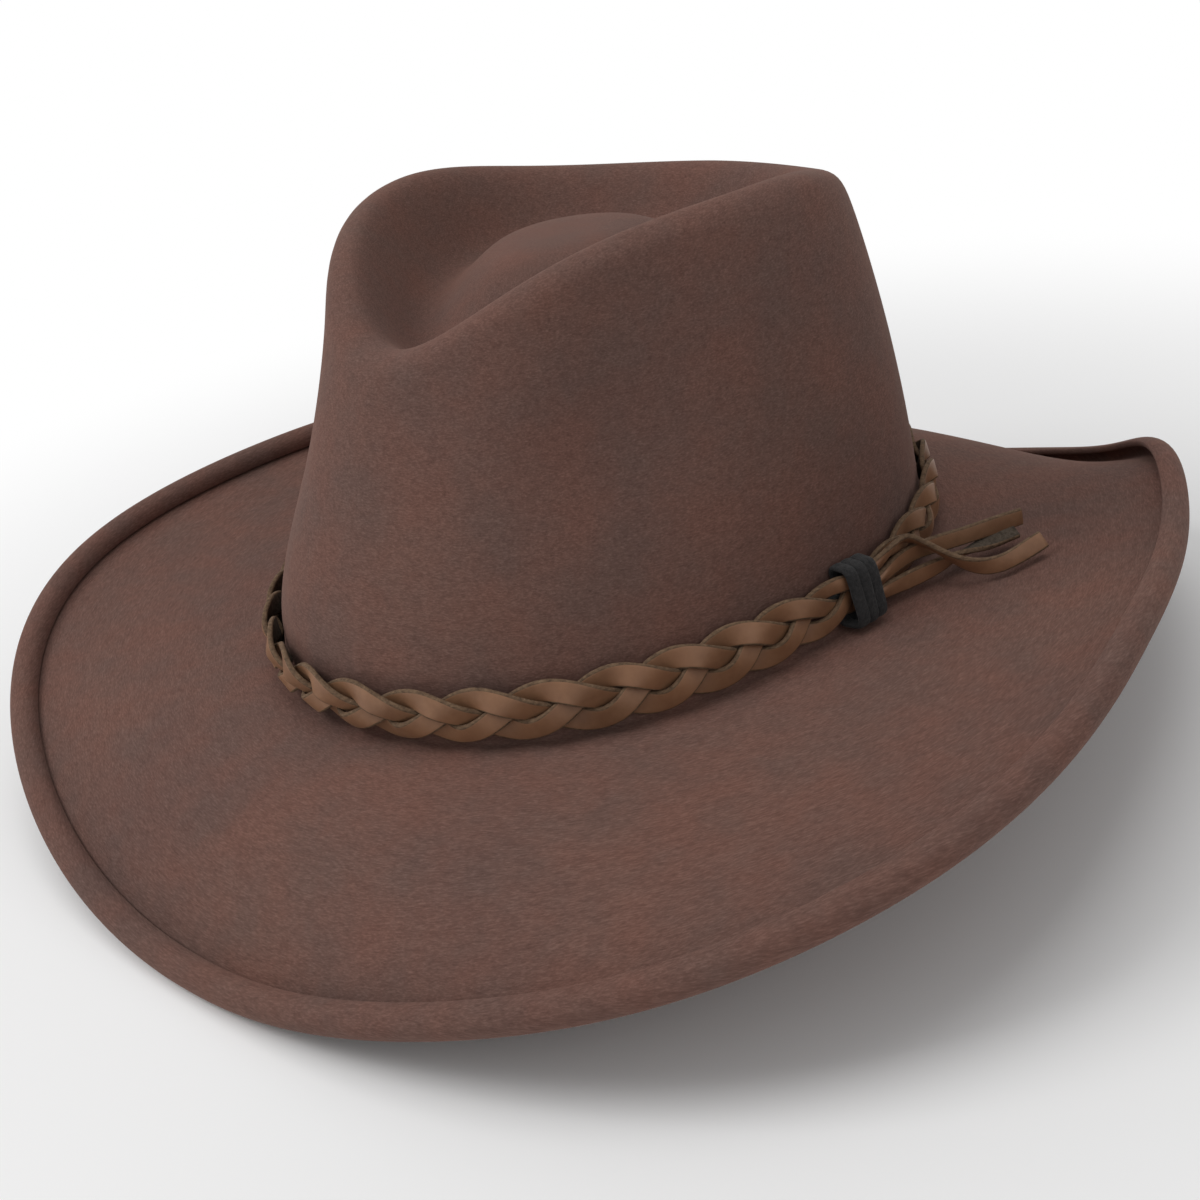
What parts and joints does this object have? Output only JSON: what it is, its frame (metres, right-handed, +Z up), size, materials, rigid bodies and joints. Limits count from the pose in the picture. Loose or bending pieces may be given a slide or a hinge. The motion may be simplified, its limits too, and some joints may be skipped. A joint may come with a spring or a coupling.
{
  "type": "cowboy hat",
  "caption": "Brown felt western hat with a creased teardrop crown, curled brim, rolled edge, braided leather lace band and an inner leather sweatband.",
  "frame": {"origin": "middle of the hat's bounding box in plan, at the height of the lowest points of the brim, which the hat stands on", "axes": "-Y to the front of the hat, +X to the wearer's left, +Z up through the crown"},
  "size_m": [0.3662, 0.362, 0.1584],
  "materials": {
    "felt": "matt brushed fur felt with short fibres",
    "lace_leather": "smooth oiled leather lace with pale cut edges",
    "wrap_leather": "dark matt leather lace",
    "sweatband_leather": "smooth satin roan leather",
    "reed_plastic": "plain extruded plastic",
    "ribbon": "fine ribbed ribbon",
    "thread": "twisted sewing thread"
  },
  "bodies": {
    "hat": {"felt_body": "felt", "sweatband": "sweatband_leather", "sweatband_reed": "reed_plastic", "reed_tape": "ribbon", "sweatband_stitching": "thread", "sweatband_bow": "ribbon"},
    "hatband": {"braid_strand_1": "lace_leather", "braid_strand_2": "lace_leather", "braid_strand_3": "lace_leather", "band_wrap": "wrap_leather"},
    "upper_tail_end": {"upper_tail": "lace_leather"},
    "lower_tail_end": {"lower_tail": "lace_leather"},
    "top_tail_end": {"top_tail": "lace_leather"}
  },
  "joints": [
    {"name": "band_lift", "type": "slide", "parent": "hat", "child": "hatband", "axis": [0, 0, 1], "range_m": [0, 0.12]},
    {"name": "upper_tail_swing", "type": "hinge", "parent": "hatband", "child": "upper_tail_end", "pos_m": [0.1007, 0.00867, 0.0503], "axis": [0.2425, 0, -0.9701], "range_deg": [0, 20]},
    {"name": "lower_tail_swing", "type": "hinge", "parent": "upper_tail_end", "child": "lower_tail_end", "pos_m": [0.1007, 0.00867, 0.0503], "axis": [0.2425, 0, -0.9701], "range_deg": [0, 11]},
    {"name": "top_tail_swing", "type": "hinge", "parent": "lower_tail_end", "child": "top_tail_end", "pos_m": [0.1007, 0.00867, 0.0503], "axis": [0.2425, 0, -0.9701], "range_deg": [0, 11]}
  ]
}
